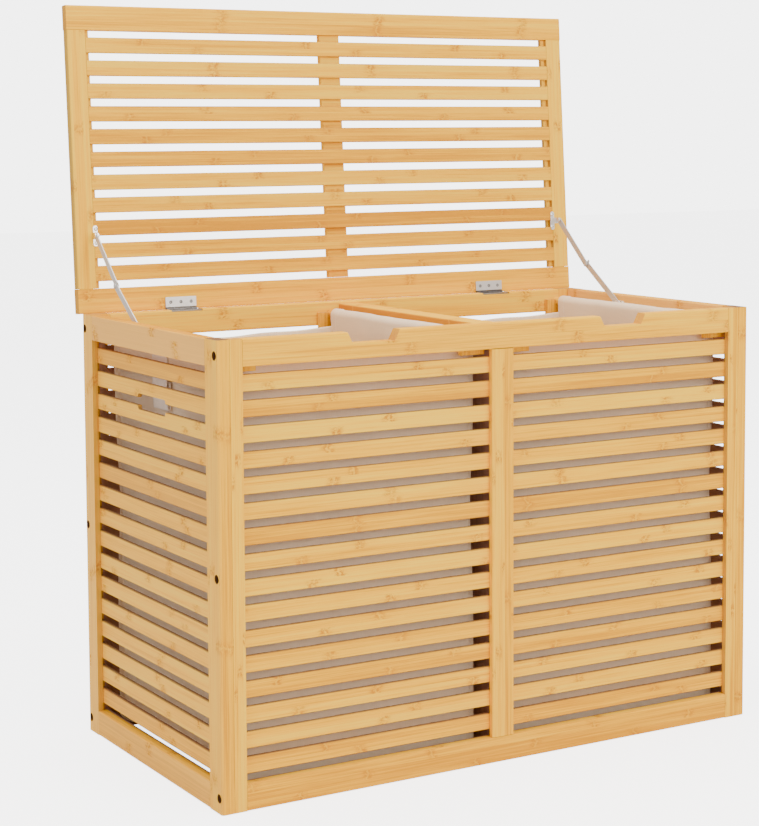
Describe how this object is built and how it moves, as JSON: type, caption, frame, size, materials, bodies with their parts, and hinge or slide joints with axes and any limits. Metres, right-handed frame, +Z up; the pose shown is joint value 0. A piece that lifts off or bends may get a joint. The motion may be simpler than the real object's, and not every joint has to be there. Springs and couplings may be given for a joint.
{
  "type": "laundry hamper with two bins",
  "caption": "Slatted bamboo laundry chest with a hinged slatted lid on elbow stays, cloth bags hung on rods beside a divider, finger notches and grip holes.",
  "frame": {"origin": "on the floor in the middle of the chest, under the divider's bottom rail", "axes": "+Z up, +X to the right of someone in front, +Y to the back, where the lid is hinged"},
  "size_m": [0.734, 0.4165, 0.8909],
  "materials": {
    "bamboo": "clear-lacquered honey bamboo, satin",
    "slat_bamboo": "clear-lacquered bamboo slats with node bands, satin",
    "end_bamboo": "clear-lacquered pale bamboo, satin",
    "dark_bamboo": "thin bamboo board, matt",
    "steel": "nickel-plated sheet steel, satin",
    "cloth": "woven cream cotton blend, matt"
  },
  "bodies": {
    "chest": {"left_end_front_stile_and_slats": "end_bamboo", "left_end_back_stile": "end_bamboo", "left_end_top_rail": "end_bamboo", "left_end_bottom_rail": "end_bamboo", "right_end_front_stile_and_slats": "end_bamboo", "right_end_back_stile": "end_bamboo", "right_end_top_rail": "end_bamboo", "right_end_bottom_rail": "end_bamboo", "front_left_stile": "bamboo", "front_right_stile": "bamboo", "front_top_rail": "bamboo", "front_bottom_rail": "bamboo", "front_middle_stile_and_slats": "slat_bamboo", "back_left_stile": "bamboo", "back_right_stile": "bamboo", "back_top_rail": "bamboo", "back_bottom_rail": "bamboo", "back_middle_stile_and_slats": "slat_bamboo", "divider_top_rail": "bamboo", "divider_partition": "dark_bamboo", "divider_bottom_rail": "bamboo", "left_bin_outer_rod": "bamboo", "left_bin_inner_rod": "bamboo", "right_bin_outer_rod": "bamboo", "right_bin_inner_rod": "bamboo", "left_bin_outer_front_holder": "bamboo", "left_bin_outer_back_holder": "bamboo", "left_bin_inner_front_holder": "bamboo", "left_bin_inner_back_holder": "bamboo", "right_bin_outer_front_holder": "bamboo", "right_bin_outer_back_holder": "bamboo", "right_bin_inner_front_holder": "bamboo", "right_bin_inner_back_holder": "bamboo", "left_bag": "cloth", "right_bag": "cloth", "left_hinge_chest_leaf": "steel", "right_hinge_chest_leaf": "steel", "left_stay_foot": "steel", "right_stay_foot": "steel"},
    "lid": {"lid_left_stile": "bamboo", "lid_right_stile": "bamboo", "lid_front_rail": "bamboo", "lid_rear_rail": "bamboo", "lid_batten_and_slats": "slat_bamboo", "left_hinge_lid_leaf": "steel", "right_hinge_lid_leaf": "steel", "left_stay_lid_bracket": "steel", "right_stay_lid_bracket": "steel"},
    "left_upper_arm": {"left_stay_upper_arm": "steel"},
    "right_upper_arm": {"right_stay_upper_arm": "steel"},
    "left_lower_arm": {"left_stay_lower_arm": "steel"},
    "right_lower_arm": {"right_stay_lower_arm": "steel"}
  },
  "joints": [
    {"name": "lid_hinge", "type": "hinge", "parent": "chest", "child": "lid", "pos_m": [0, 0.1897, 0.51535], "axis": [1, 0, 0], "range_deg": [0, 94]},
    {"name": "left_stay_lid_pivot", "type": "hinge", "parent": "lid", "child": "left_upper_arm", "pos_m": [-0.3446, 0.186, 0.61084], "axis": [1, 0, 0], "range_deg": [-60.7, 0]},
    {"name": "left_stay_chest_pivot", "type": "hinge", "parent": "chest", "child": "left_lower_arm", "pos_m": [-0.3469, 0.055, 0.505], "axis": [1, 0, 0], "range_deg": [-111.8, 0]},
    {"name": "right_stay_lid_pivot", "type": "hinge", "parent": "lid", "child": "right_upper_arm", "pos_m": [0.3446, 0.186, 0.61084], "axis": [1, 0, 0], "range_deg": [-60.7, 0]},
    {"name": "right_stay_chest_pivot", "type": "hinge", "parent": "chest", "child": "right_lower_arm", "pos_m": [0.3469, 0.055, 0.505], "axis": [1, 0, 0], "range_deg": [-111.8, 0]}
  ],
  "couplings": [
    {"joint": "left_stay_lid_pivot", "follows": "lid_hinge", "ratio": -0.64262},
    {"joint": "left_stay_chest_pivot", "follows": "lid_hinge", "ratio": -1.1858},
    {"joint": "right_stay_lid_pivot", "follows": "lid_hinge", "ratio": -0.64262},
    {"joint": "right_stay_chest_pivot", "follows": "lid_hinge", "ratio": -1.1858}
  ]
}
